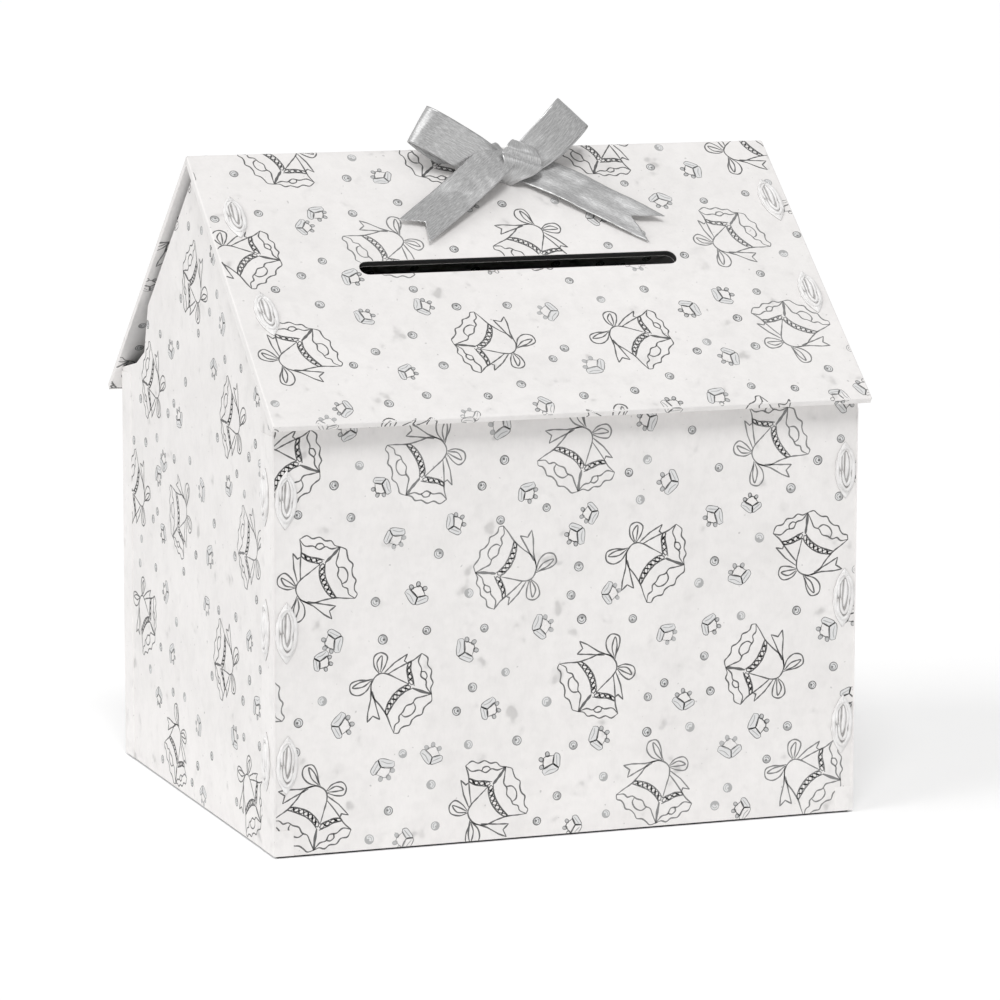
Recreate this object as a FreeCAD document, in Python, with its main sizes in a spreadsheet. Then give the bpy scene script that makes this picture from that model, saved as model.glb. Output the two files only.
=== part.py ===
"""Wedding card box: a paper-covered board house with a money slot and a rear roof flap.

Millimetres. +Z is up, the front wall faces -Y and the origin is the middle of the
base, on the surface that the box stands on. The ridge runs along X above the origin.
"""

import FreeCAD, Part
import math
import os
import Sketcher

doc = FreeCAD.newDocument("WeddingCardBox")
sheet = doc.addObject("Spreadsheet::Sheet", "Dimensions")


# --------------------------------------------------------------------------
# Driving dimensions
# --------------------------------------------------------------------------

class Size:
    """A length or angle that knows its number and its spreadsheet expression."""

    def __init__(self, text, value):
        self.text = text
        self.value = value

    def combine(self, other, sign, result):
        text = other.text if isinstance(other, Size) else repr(float(other))
        return Size(f"({self.text} {sign} {text})", result)

    def __add__(self, other):
        return self.combine(other, "+", self.value + number(other))

    def __sub__(self, other):
        return self.combine(other, "-", self.value - number(other))

    def __mul__(self, other):
        return self.combine(other, "*", self.value * number(other))

    def __truediv__(self, other):
        return self.combine(other, "/", self.value / number(other))

    def __neg__(self):
        return Size(f"(0 - {self.text})", -self.value)


def number(size):
    return size.value if isinstance(size, Size) else float(size)


def sine(angle):
    return Size(f"sin({angle.text})", math.sin(math.radians(angle.value)))


def cosine(angle):
    return Size(f"cos({angle.text})", math.cos(math.radians(angle.value)))


def tangent(angle):
    return Size(f"tan({angle.text})", math.tan(math.radians(angle.value)))


def dimension(alias, value):
    """Write one driving dimension as the next row of the spreadsheet."""
    dimension.row += 1
    sheet.set(f"A{dimension.row}", alias)
    sheet.set(f"B{dimension.row}", str(value))
    sheet.setAlias(f"B{dimension.row}", alias)
    return Size(f"Dimensions.{alias}", float(value))


dimension.row = 0
ZERO = Size("0", 0.0)

# The house, outside the paper.
BODY_WIDTH = dimension("body_width", 290)
BODY_DEPTH = dimension("body_depth", 246)
RIDGE_HEIGHT = dimension("ridge_height", 313)
FRONT_PITCH = dimension("front_pitch", 40)
REAR_PITCH = dimension("rear_pitch", 42)
FRONT_OVERHANG = dimension("front_overhang", 10)
REAR_OVERHANG = dimension("rear_overhang", 17)
SIDE_OVERHANG = dimension("side_overhang", 3)

# Boards and papers.
WALL_BOARD = dimension("wall_board", 2.5)
FLOOR_BOARD = dimension("floor_board", 2.5)
ROOF_BOARD = dimension("roof_board", 3)
PAPER = dimension("paper", 0.25)
FOOT_CARD = dimension("foot_card", 1)
FOOT_INSET = dimension("foot_inset", 1.5)

# The money slot in the front roof panel.
SLOT_LENGTH = dimension("slot_length", 160)
SLOT_WIDTH = dimension("slot_width", 8.6)
SLOT_BELOW_RIDGE = dimension("slot_below_ridge", 77.6)
SLOT_SHIFT = dimension("slot_shift", -2)

# The paper hinge at the ridge and the fit of the rear flap.
RIDGE_CLEARANCE = dimension("ridge_clearance", 0.5)
HINGE_LAP = dimension("hinge_lap", 0.5)
FLAP_CLEARANCE = dimension("flap_clearance", 0.3)
FLAP_GAP = dimension("flap_gap", 6)
NOTCH_RUN = dimension("notch_run", 46)
NOTCH_LOW_RUN = dimension("notch_low_run", 25)
NOTCH_LOW_RISE = dimension("notch_low_rise", 5)
NOTCH_HIGH_RUN = dimension("notch_high_run", 39)
NOTCH_HIGH_RISE = dimension("notch_high_rise", 12)

# Plain card seams under the front roof ends and plain paper on the corners.
SEAM_CARD = dimension("seam_card", 1)
SEAM_START = dimension("seam_start", 7.6)
SEAM_TOP_DEPTH = dimension("seam_top_depth", 2)
SEAM_DEPTH = dimension("seam_depth", 8)
SEAM_TAPER_RUN = dimension("seam_taper_run", 38)
STRIP_FRONT = dimension("strip_front", 18)
STRIP_REAR = dimension("strip_rear", 15)
STRIP_LAP = dimension("strip_lap", 0.5)
STRIP_TOP_GAP = dimension("strip_top_gap", 2)
TAB_WIDTH = dimension("tab_width", 9)
TAB_HEIGHT = dimension("tab_height", 12)

# Paper roses.
ROSE_LENGTH = dimension("rose_length", 27)
ROSE_WIDTH = dimension("rose_width", 10.5)
ROSE_RISE = dimension("rose_rise", 1.9)
ROSE_LOWEST = dimension("rose_lowest", 43.5)
ROSE_BELOW_WALL_TOP = dimension("rose_below_wall_top", 39.3)
ROSE_FROM_CORNER = dimension("rose_from_corner", 6)
GABLE_ROSE_FROM_CORNER = dimension("gable_rose_from_corner", 11)
ROOF_ROSE_BELOW_RIDGE = dimension("roof_rose_below_ridge", 41.8)
ROOF_ROSE_STEP = dimension("roof_rose_step", 62.4)
ROOF_ROSE_LEFT_INSET = dimension("roof_rose_left_inset", 14)
ROOF_ROSE_RIGHT_INSET = dimension("roof_rose_right_inset", 9)

# The ribbon bow: where it sits on the front roof panel and its plain solids.
BOW_SHIFT = dimension("bow_shift", 14)
BOW_BELOW_RIDGE = dimension("bow_below_ridge", 18)
RIBBON_WIDTH = dimension("ribbon_width", 19)
RIBBON_BULK = dimension("ribbon_bulk", 0.8)
BOW_PAD_RADIUS = dimension("bow_pad_radius", 7)
BOW_PAD_RISE = dimension("bow_pad_rise", 0.6)
KNOT_WIDTH = dimension("knot_width", 17)
KNOT_LENGTH = dimension("knot_length", 22)
KNOT_RISE = dimension("knot_rise", 8)
KNOT_ROUND = dimension("knot_round", 2.5)
TAIL_NOTCH = dimension("tail_notch", 7)
LEFT_TAIL_LENGTH = dimension("left_tail_length", 75)
LEFT_TAIL_TURN = dimension("left_tail_turn", 33.5)
RIGHT_TAIL_LENGTH = dimension("right_tail_length", 69)
RIGHT_TAIL_TURN = dimension("right_tail_turn", 36)
LOOP_THICKNESS = dimension("loop_thickness", 6)
LOOP_LEAN = dimension("loop_lean", 50)
LOOP_LIFT = dimension("loop_lift", 1.9)
LOOP_ABOVE_KNOT = dimension("loop_above_knot", 2.6)

# Worked out from the driving dimensions.
HALF_WIDTH = BODY_WIDTH / 2
HALF_DEPTH = BODY_DEPTH / 2
BOARD_HALF_WIDTH = HALF_WIDTH - PAPER
BOARD_HALF_DEPTH = HALF_DEPTH - PAPER
ROOF_HALF_WIDTH = HALF_WIDTH + SIDE_OVERHANG
ROOF_THICKNESS = ROOF_BOARD + PAPER * 2
FRONT_SLOPE_LENGTH = (HALF_DEPTH + FRONT_OVERHANG) / cosine(FRONT_PITCH)
REAR_SLOPE_LENGTH = (HALF_DEPTH + REAR_OVERHANG) / cosine(REAR_PITCH)


def under_front_roof(distance):
    """Height of the front panel's underside, at a distance in front of the ridge."""
    return RIDGE_HEIGHT - ROOF_THICKNESS / cosine(FRONT_PITCH) - distance * tangent(FRONT_PITCH)


def under_rear_roof(distance):
    """Height of the closed flap's underside, at a distance behind the ridge."""
    return RIDGE_HEIGHT - ROOF_THICKNESS / cosine(REAR_PITCH) - distance * tangent(REAR_PITCH)


FRONT_WALL_TOP = under_front_roof(BOARD_HALF_DEPTH)
REAR_WALL_TOP = under_rear_roof(BOARD_HALF_DEPTH) - FLAP_CLEARANCE
FRONT_SETBACK = ROOF_THICKNESS * tangent(FRONT_PITCH) + RIDGE_CLEARANCE
REAR_SETBACK = ROOF_THICKNESS * tangent(REAR_PITCH) + RIDGE_CLEARANCE
FRONT_LEAF = FRONT_SETBACK + HINGE_LAP
REAR_LEAF = REAR_SETBACK + HINGE_LAP

# --------------------------------------------------------------------------
# Placements
# --------------------------------------------------------------------------


def place(x=ZERO, y=ZERO, z=ZERO, axis=(0, 0, 1), turn=ZERO):
    """Expression text of one move: a turn about an axis, then a shift."""
    vector = f"vector({x.text}; {y.text}; {z.text})"
    rotation = f"rotation(vector({axis[0]}; {axis[1]}; {axis[2]}); {turn.text})"
    return f"placement({vector}; {rotation})"


X_AXIS = (1, 0, 0)
Z_AXIS = (0, 0, 1)

# On both roof panels local z is outwards and local y = 0 is the ridge. Up the slope
# is +y on the front panel, and down the slope is +y on the rear flap.
ON_FRONT_ROOF = place(z=RIDGE_HEIGHT, axis=X_AXIS, turn=FRONT_PITCH) + " * "
ON_REAR_ROOF = place(z=RIDGE_HEIGHT, axis=X_AXIS, turn=-REAR_PITCH) + " * "


def node(thing, name, placement=None):
    """Give a sub-part its label and its placement, and list it for export."""
    thing.Label = name
    if placement is not None:
        thing.setExpression("Placement", placement)
    node.made.append(thing)
    return thing


node.made = []

# --------------------------------------------------------------------------
# Shapes that several sub-parts share
# --------------------------------------------------------------------------


def box(name, length, width, height):
    """A plain plate or block from its own corner."""
    plate = doc.addObject("Part::Box", name)
    plate.setExpression("Length", length.text)
    plate.setExpression("Width", width.text)
    plate.setExpression("Height", height.text)
    return plate


def outline(body, name, plane_role, points):
    """A closed sketch of straight lines whose corners are bound to the spreadsheet."""
    plane = [feature for feature in body.Origin.OriginFeatures if feature.Role == plane_role][0]
    sketch = body.newObject("Sketcher::SketchObject", name)
    sketch.AttachmentSupport = [(plane, "")]
    sketch.MapMode = "FlatFace"
    corners = [FreeCAD.Vector(number(x), number(y), 0) for x, y in points]
    count = len(corners)
    for index, corner in enumerate(corners):
        sketch.addGeometry(Part.LineSegment(corner, corners[(index + 1) % count]))
    for index in range(count):
        sketch.addConstraint(Sketcher.Constraint("Coincident", index, 2, (index + 1) % count, 1))
    for index, point in enumerate(points):
        for kind, size in zip(("DistanceX", "DistanceY"), point):
            constraint = Sketcher.Constraint(kind, -1, 1, index, 1, number(size))
            place_in_list = sketch.addConstraint(constraint)
            if isinstance(size, Size):
                label = f"{kind}{index}"
                sketch.renameConstraint(place_in_list, label)
                sketch.setExpression(f"Constraints.{label}", size.text)
    return sketch


def pad(body, sketch, length, both_ways=False):
    feature = body.newObject("PartDesign::Pad", f"{sketch.Name}_pad")
    feature.Profile = sketch
    feature.setExpression("Length", length.text)
    feature.Midplane = both_ways
    return feature


def prism(name, plane_role, points, length, both_ways=False):
    """A body made of one padded outline."""
    body = doc.addObject("PartDesign::Body", name)
    sketch = outline(body, f"{name}_outline", plane_role, points)
    pad(body, sketch, length, both_ways)
    return body


# --------------------------------------------------------------------------
# Base and walls
# --------------------------------------------------------------------------


def make_base():
    """The floor board inside the walls, and the foot card under it that lifts the walls."""
    foot_half_width = HALF_WIDTH - FOOT_INSET
    foot_half_depth = HALF_DEPTH - FOOT_INSET
    foot = box("foot_card", foot_half_width * 2, foot_half_depth * 2, FOOT_CARD)
    node(foot, "foot_card", place(-foot_half_width, -foot_half_depth))
    inner_half_width = BOARD_HALF_WIDTH - WALL_BOARD
    inner_half_depth = BOARD_HALF_DEPTH - WALL_BOARD
    floor = box("floor_board", inner_half_width * 2, inner_half_depth * 2, FLOOR_BOARD)
    node(floor, "floor_board", place(-inner_half_width, -inner_half_depth, FOOT_CARD))


def make_long_walls():
    """Front and rear wall boards between the gables, each with its printed paper."""
    board_length = (BOARD_HALF_WIDTH - WALL_BOARD) * 2
    board_left = WALL_BOARD - BOARD_HALF_WIDTH
    walls = (
        ("front", FRONT_WALL_TOP, -BOARD_HALF_DEPTH, -HALF_DEPTH),
        ("rear", REAR_WALL_TOP, BOARD_HALF_DEPTH - WALL_BOARD, BOARD_HALF_DEPTH),
    )
    for side, top, board_front, paper_front in walls:
        board = box(f"{side}_wall_board", board_length, WALL_BOARD, top - FOOT_CARD)
        node(board, f"{side}_wall_board", place(board_left, board_front, FOOT_CARD))
        paper = box(f"{side}_wall_paper", BODY_WIDTH, PAPER, top - FOOT_CARD - FLAP_CLEARANCE)
        node(paper, f"{side}_wall_paper", place(-HALF_WIDTH, paper_front, FOOT_CARD))


def gable_outline():
    """Gable corners as (y, z): glued under the front panel, and cut away under the flap.

    The rear slope is a little lower than the flap, and a finger notch at the rear
    corner gives a hold for lifting it.
    """
    apex = under_rear_roof(ZERO) - FLAP_GAP
    front_of_apex = (under_front_roof(ZERO) - apex) / tangent(FRONT_PITCH)
    notch_start = BOARD_HALF_DEPTH - NOTCH_RUN
    notch_top = under_rear_roof(notch_start) - FLAP_GAP
    return [
        (-BOARD_HALF_DEPTH, FOOT_CARD),
        (BOARD_HALF_DEPTH, FOOT_CARD),
        (BOARD_HALF_DEPTH, REAR_WALL_TOP),
        (BOARD_HALF_DEPTH - NOTCH_LOW_RUN, REAR_WALL_TOP + NOTCH_LOW_RISE),
        (BOARD_HALF_DEPTH - NOTCH_HIGH_RUN, REAR_WALL_TOP + NOTCH_HIGH_RISE),
        (notch_start, notch_top),
        (ZERO, apex),
        (-front_of_apex, apex),
        (-BOARD_HALF_DEPTH, FRONT_WALL_TOP),
    ]


def make_gables():
    """Left and right gable boards and the printed papers on their outsides."""
    corners = gable_outline()
    sides = (
        ("left", -BOARD_HALF_WIDTH, -HALF_WIDTH),
        ("right", BOARD_HALF_WIDTH - WALL_BOARD, BOARD_HALF_WIDTH),
    )
    for side, board_left, paper_left in sides:
        board = prism(f"{side}_gable_board", "YZ_Plane", corners, WALL_BOARD)
        node(board, f"{side}_gable_board", place(board_left))
        paper = prism(f"{side}_gable_paper", "YZ_Plane", corners, PAPER)
        node(paper, f"{side}_gable_paper", place(paper_left))


# --------------------------------------------------------------------------
# Roof
# --------------------------------------------------------------------------


def make_slot_tool():
    """A round-ended bar through the front panel, in the panel's own frame."""
    reach = ROOF_THICKNESS * 2
    radius = SLOT_WIDTH / 2
    straight = SLOT_LENGTH - SLOT_WIDTH
    left = SLOT_SHIFT - straight / 2
    right = SLOT_SHIFT + straight / 2
    bar = box("slot_bar", straight, SLOT_WIDTH, reach * 2)
    bar.setExpression("Placement", place(left, -SLOT_BELOW_RIDGE - radius, -reach))
    pieces = [bar]
    for side, centre in (("left", left), ("right", right)):
        end = doc.addObject("Part::Cylinder", f"slot_end_{side}")
        end.setExpression("Radius", radius.text)
        end.setExpression("Height", (reach * 2).text)
        end.setExpression("Placement", place(centre, -SLOT_BELOW_RIDGE, -reach))
        pieces.append(end)
    tool = doc.addObject("Part::MultiFuse", "slot_tool")
    tool.Shapes = pieces
    return tool


def make_front_roof():
    """The glued front panel: board, printed paper and lining, all cut by the slot."""
    slot = make_slot_tool()
    board_half_width = ROOF_HALF_WIDTH - PAPER
    layers = (
        ("front_roof_paper", ROOF_HALF_WIDTH, FRONT_LEAF, PAPER, -PAPER),
        ("front_roof_board", board_half_width, FRONT_SETBACK, ROOF_BOARD, -PAPER - ROOF_BOARD),
        ("front_roof_lining", ROOF_HALF_WIDTH, FRONT_SETBACK, PAPER, -ROOF_THICKNESS),
    )
    for name, half_width, setback, thickness, bottom in layers:
        plate = box(f"{name}_plate", half_width * 2, FRONT_SLOPE_LENGTH - setback, thickness)
        plate.setExpression("Placement", place(-half_width, -FRONT_SLOPE_LENGTH, bottom))
        cut = doc.addObject("Part::Cut", name)
        cut.Base = plate
        cut.Tool = slot
        node(cut, name, ON_FRONT_ROOF + place())


def make_rear_flap():
    """The rear panel, which lifts about the ridge: board, printed paper and lining."""
    board_half_width = ROOF_HALF_WIDTH - PAPER
    layers = (
        ("rear_roof_paper", ROOF_HALF_WIDTH, REAR_LEAF, PAPER, -PAPER),
        ("rear_roof_board", board_half_width, REAR_SETBACK, ROOF_BOARD, -PAPER - ROOF_BOARD),
        ("rear_roof_lining", ROOF_HALF_WIDTH, REAR_SETBACK, PAPER, -ROOF_THICKNESS),
    )
    for name, half_width, setback, thickness, bottom in layers:
        plate = box(name, half_width * 2, REAR_SLOPE_LENGTH - setback, thickness)
        node(plate, name, ON_REAR_ROOF + place(-half_width, setback, bottom))


def make_ridge_hinge():
    """The folded paper strip over the ridge, which bends as the flap lifts."""
    front_sine = sine(FRONT_PITCH)
    front_cosine = cosine(FRONT_PITCH)
    rear_sine = sine(REAR_PITCH)
    rear_cosine = cosine(REAR_PITCH)
    slopes = tangent(FRONT_PITCH) + tangent(REAR_PITCH)
    inner_y = (PAPER / front_cosine - PAPER / rear_cosine) / slopes
    inner_z = RIDGE_HEIGHT - PAPER / front_cosine + inner_y * tangent(FRONT_PITCH)
    front_y = -FRONT_LEAF * front_cosine
    front_z = RIDGE_HEIGHT - FRONT_LEAF * front_sine
    rear_y = REAR_LEAF * rear_cosine
    rear_z = RIDGE_HEIGHT - REAR_LEAF * rear_sine
    corners = [
        (front_y, front_z),
        (front_y + PAPER * front_sine, front_z - PAPER * front_cosine),
        (inner_y, inner_z),
        (rear_y - PAPER * rear_sine, rear_z - PAPER * rear_cosine),
        (rear_y, rear_z),
        (ZERO, RIDGE_HEIGHT),
    ]
    strip = prism("ridge_hinge", "YZ_Plane", corners, ROOF_HALF_WIDTH * 2, both_ways=True)
    node(strip, "ridge_hinge", place())


def make_seams():
    """Plain card on each gable, up to the front panel's underside."""
    corners = [
        (-SEAM_START, under_front_roof(SEAM_START)),
        (-BOARD_HALF_DEPTH, FRONT_WALL_TOP),
        (-BOARD_HALF_DEPTH, FRONT_WALL_TOP - SEAM_DEPTH),
        (-SEAM_TAPER_RUN, under_front_roof(SEAM_TAPER_RUN) - SEAM_DEPTH),
        (-SEAM_START, under_front_roof(SEAM_START) - SEAM_TOP_DEPTH),
    ]
    for side, left in (("left", -HALF_WIDTH - SEAM_CARD), ("right", HALF_WIDTH)):
        seam = prism(f"front_seam_{side}", "YZ_Plane", corners, SEAM_CARD)
        node(seam, f"front_seam_{side}", place(left))


# --------------------------------------------------------------------------
# Plain corner strips
# --------------------------------------------------------------------------


def make_corner_strip(name, x_side, y_side, gable_leg, top):
    """An L of plain paper round one upright corner: wide on the gable, a lap on the wall."""
    outer_x = (HALF_WIDTH + PAPER) * x_side
    inner_x = HALF_WIDTH * x_side
    lap_x = (HALF_WIDTH - STRIP_LAP) * x_side
    outer_y = (HALF_DEPTH + PAPER) * y_side
    inner_y = HALF_DEPTH * y_side
    leg_y = (HALF_DEPTH - gable_leg) * y_side
    body = doc.addObject("PartDesign::Body", name)
    corners = [
        (outer_x, outer_y),
        (outer_x, leg_y),
        (inner_x, leg_y),
        (inner_x, inner_y),
        (lap_x, inner_y),
        (lap_x, outer_y),
    ]
    pad(body, outline(body, f"{name}_outline", "XY_Plane", corners), top - FOOT_CARD)
    if y_side < 0:
        tab_x = (HALF_WIDTH - TAB_WIDTH) * x_side
        tab = [(outer_x, outer_y), (outer_x, inner_y), (tab_x, inner_y), (tab_x, outer_y)]
        pad(body, outline(body, f"{name}_tab", "XY_Plane", tab), TAB_HEIGHT)
    node(body, name, place(z=FOOT_CARD))


def make_corner_strips():
    front_top = FRONT_WALL_TOP - SEAM_DEPTH - STRIP_TOP_GAP
    rear_top = REAR_WALL_TOP - STRIP_TOP_GAP
    for side, x_side in (("left", -1), ("right", 1)):
        make_corner_strip(f"corner_strip_front_{side}", x_side, -1, STRIP_FRONT, front_top)
        make_corner_strip(f"corner_strip_rear_{side}", x_side, 1, STRIP_REAR, rear_top)


# --------------------------------------------------------------------------
# Paper roses
# --------------------------------------------------------------------------


def make_rose(name, placement):
    """A low dome: local x is across the rose, local y along it and local z outwards."""
    dome = doc.addObject("Part::Ellipsoid", name)
    dome.Angle1 = 0
    dome.Angle2 = 90
    dome.setExpression("Radius1", ROSE_RISE.text)
    dome.setExpression("Radius2", (ROSE_WIDTH / 2).text)
    dome.setExpression("Radius3", (ROSE_LENGTH / 2).text)
    node(dome, name, placement)


def make_wall_roses():
    """Three roses up each side of the front wall and three up the front of each gable."""
    facing_front = place(axis=X_AXIS, turn=Size("90", 90.0))
    side_y = GABLE_ROSE_FROM_CORNER - HALF_DEPTH
    rose_step = (FRONT_WALL_TOP - ROSE_BELOW_WALL_TOP - ROSE_LOWEST) / 2
    for side, x_side in (("left", -1), ("right", 1)):
        front_x = (HALF_WIDTH - ROSE_FROM_CORNER) * x_side
        side_x = (HALF_WIDTH + PAPER) * x_side
        turn = Size(str(90 * x_side), 90.0 * x_side)
        facing_side = place(axis=Z_AXIS, turn=turn) + " * " + facing_front
        for step in range(3):
            height = ROSE_LOWEST + rose_step * step
            on_front = place(front_x, -HALF_DEPTH, height)
            make_rose(f"rose_front_{side}_{step + 1}", f"{on_front} * {facing_front}")
            on_side = place(side_x, side_y, height)
            make_rose(f"rose_gable_{side}_{step + 1}", f"{on_side} * {facing_side}")


def make_roof_roses():
    """Two roses down each end of the front roof panel."""
    ends = (
        ("left", ROOF_ROSE_LEFT_INSET - ROOF_HALF_WIDTH),
        ("right", ROOF_HALF_WIDTH - ROOF_ROSE_RIGHT_INSET),
    )
    for side, x in ends:
        for step in range(2):
            down = ROOF_ROSE_BELOW_RIDGE + ROOF_ROSE_STEP * step
            make_rose(f"rose_roof_{side}_{step + 1}", ON_FRONT_ROOF + place(x, -down))


# --------------------------------------------------------------------------
# Ribbon bow
# --------------------------------------------------------------------------

# Plain outlines of the two loops as (across, up) from the foot of the bow's centre.
LEFT_LOOP = [(-9.5, 0.4), (-9.5, 8.9), (-45.5, 29.9), (-56.5, 13.4), (-29, 0.4)]
RIGHT_LOOP = [(9, 0.4), (16, 1.4), (34, 18.4), (18.5, 32.4), (0, 13.4), (9, 8.4)]


def make_tail(name, x_side, start, length, turn, lift):
    """A flat swallow-tailed ribbon end, lying just off the front roof panel."""
    half = RIBBON_WIDTH / 2
    corners = [
        (ZERO, -half),
        (length, -half),
        (length - TAIL_NOTCH, ZERO),
        (length, half),
        (ZERO, half),
    ]
    body = prism(name, "XY_Plane", corners, RIBBON_BULK)
    heading = -turn if x_side > 0 else turn - 180
    moved = place(BOW_SHIFT + start, -BOW_BELOW_RIDGE, lift, turn=heading)
    node(body, name, ON_FRONT_ROOF + moved)


def make_bow():
    """Glue pad, two tails, the knot over them and two standing loops."""
    disc = doc.addObject("Part::Cylinder", "bow_pad")
    disc.setExpression("Radius", BOW_PAD_RADIUS.text)
    disc.setExpression("Height", BOW_PAD_RISE.text)
    node(disc, "bow_pad", ON_FRONT_ROOF + place(BOW_SHIFT, -BOW_BELOW_RIDGE))

    tail_start = RIBBON_WIDTH / 2
    make_tail("bow_tail_left", -1, -tail_start, LEFT_TAIL_LENGTH - tail_start,
              LEFT_TAIL_TURN, BOW_PAD_RISE)
    make_tail("bow_tail_right", 1, tail_start, RIGHT_TAIL_LENGTH - tail_start,
              RIGHT_TAIL_TURN, BOW_PAD_RISE)

    half_width = KNOT_WIDTH / 2
    half_length = KNOT_LENGTH / 2
    corners = [
        (-half_width, -half_length),
        (half_width, -half_length),
        (half_width, half_length),
        (-half_width, half_length),
    ]
    knot = prism("bow_knot", "XY_Plane", corners, KNOT_RISE)
    blank = knot.Tip
    doc.recompute()
    edge_round = knot.newObject("PartDesign::Fillet", "knot_round_edges")
    edge_round.Base = (blank, ["Face6"])
    edge_round.setExpression("Radius", KNOT_ROUND.text)
    knot.Tip = edge_round
    knot_lift = BOW_PAD_RISE + RIBBON_BULK
    node(knot, "bow_knot", ON_FRONT_ROOF + place(BOW_SHIFT, -BOW_BELOW_RIDGE, knot_lift))

    loop_foot = place(BOW_SHIFT, LOOP_ABOVE_KNOT - BOW_BELOW_RIDGE, LOOP_LIFT, X_AXIS, LOOP_LEAN)
    for side, corners in (("left", LEFT_LOOP), ("right", RIGHT_LOOP)):
        loop = prism(f"bow_loop_{side}", "XY_Plane", corners, LOOP_THICKNESS)
        node(loop, f"bow_loop_{side}", ON_FRONT_ROOF + loop_foot)


# --------------------------------------------------------------------------
# Build, check and write
# --------------------------------------------------------------------------


def check_document():
    """Stop on any failed feature, or a sub-part without one valid closed shape."""
    for thing in doc.Objects:
        if "Invalid" in thing.State or "Error" in thing.State:
            raise RuntimeError(f"{thing.Label} failed to recompute: {thing.State}")
    for thing in node.made:
        shape = thing.Shape
        if shape.isNull() or not shape.isValid() or not shape.Solids:
            raise RuntimeError(f"{thing.Label} has no valid solid")


def write_parts():
    os.makedirs("parts", exist_ok=True)
    for thing in node.made:
        thing.Shape.exportStep(os.path.join("parts", f"{thing.Label}.step"))
        print(f"{thing.Label:26s} {thing.Shape.Volume:12.1f} mm3")


make_base()
make_long_walls()
make_gables()
make_front_roof()
make_rear_flap()
make_ridge_hinge()
make_seams()
make_corner_strips()
make_wall_roses()
make_roof_roses()
make_bow()
doc.recompute()
check_document()
write_parts()
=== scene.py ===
"""The looks of a house-shaped wedding card box: printed paper, moulded roses and a satin bow."""

import math
import random

import bmesh
import bpy
from mathutils import Matrix, Vector
from mathutils.bvhtree import BVHTree
from mathutils.geometry import delaunay_2d_cdt


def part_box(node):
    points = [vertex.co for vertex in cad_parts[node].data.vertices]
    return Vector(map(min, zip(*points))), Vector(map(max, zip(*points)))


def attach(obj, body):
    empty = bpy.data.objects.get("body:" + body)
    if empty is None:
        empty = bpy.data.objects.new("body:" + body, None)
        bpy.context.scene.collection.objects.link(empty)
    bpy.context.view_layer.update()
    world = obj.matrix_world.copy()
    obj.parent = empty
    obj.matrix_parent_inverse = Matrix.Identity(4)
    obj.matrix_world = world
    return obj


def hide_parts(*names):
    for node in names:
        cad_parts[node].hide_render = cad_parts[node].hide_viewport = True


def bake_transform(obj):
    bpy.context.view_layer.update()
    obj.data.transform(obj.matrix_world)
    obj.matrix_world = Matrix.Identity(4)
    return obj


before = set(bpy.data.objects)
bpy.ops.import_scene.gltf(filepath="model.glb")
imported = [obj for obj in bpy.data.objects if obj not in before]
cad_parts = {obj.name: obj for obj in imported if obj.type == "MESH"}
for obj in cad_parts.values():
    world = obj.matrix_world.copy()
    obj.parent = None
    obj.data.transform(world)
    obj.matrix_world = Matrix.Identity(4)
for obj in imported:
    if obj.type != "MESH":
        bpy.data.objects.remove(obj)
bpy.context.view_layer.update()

MM = 0.001
X, Y, Z = Vector((1, 0, 0)), Vector((0, 1, 0)), Vector((0, 0, 1))

# The two slopes of the roof are told apart by the sign of y.
FRONT, REAR = -1, 1

# Driving sizes, in millimetres, as the CAD model has them.
PITCH = {FRONT: math.radians(40), REAR: math.radians(42)}
ROOF_THICKNESS = 3.5
PAPER = 0.25
SLOT_LENGTH = 160
SLOT_WIDTH = 8.6
SLOT_BELOW_RIDGE = 77.6
SLOT_SHIFT = -2
BOW_SHIFT = 14
BOW_BELOW_RIDGE = 18
RIBBON_WIDTH = 19.5

RIDGE_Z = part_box("ridge_hinge")[1].z / MM
ROOF_HALF_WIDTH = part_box("front_roof_paper")[1].x / MM
# The cover paper turns down over the eaves, so each slope is one paper longer than its board.
SLOPE = {
    FRONT: -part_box("front_roof_paper")[0].y / MM / math.cos(PITCH[FRONT]) + PAPER,
    REAR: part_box("rear_roof_paper")[1].y / MM / math.cos(PITCH[REAR]) + PAPER,
}

# How the cover paper rounds the boards.
EDGE_ROUND = 0.75
RIDGE_ROUND = 1.3
ARC_STEPS = 5
MITRE_GAP = 0.5

# How far ink stands out of the paper and reaches into it, and how finely its lines are stepped.
INK_PROUD = 0.035
INK_SUNK = 0.03
WASH_PROUD = 0.015
LINE_STEP = 0.9


# ---- Materials ----


def new_material(name, roughness, colour=(0.8, 0.8, 0.8)):
    material = bpy.data.materials.new(name)
    material.use_nodes = True
    shader = material.node_tree.nodes["Principled BSDF"]
    shader.inputs["Roughness"].default_value = roughness
    shader.inputs["Base Color"].default_value = (*colour, 1)
    return material, material.node_tree, shader


def noise(tree, scale, detail, stretch=None, coordinates=None):
    """A noise texture in cycles per metre, in object space unless other coordinates are given."""
    if coordinates is None:
        coordinates = tree.nodes.new("ShaderNodeTexCoord").outputs["Object"]
    texture = tree.nodes.new("ShaderNodeTexNoise")
    texture.inputs["Scale"].default_value = scale
    texture.inputs["Detail"].default_value = detail
    if stretch:
        mapping = tree.nodes.new("ShaderNodeMapping")
        mapping.inputs["Scale"].default_value = stretch
        tree.links.new(coordinates, mapping.inputs["Vector"])
        coordinates = mapping.outputs["Vector"]
    tree.links.new(coordinates, texture.inputs["Vector"])
    return texture.outputs["Fac"]


def grey(value, warm=0.0):
    return (value + warm, value, value - warm * 0.6)


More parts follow.
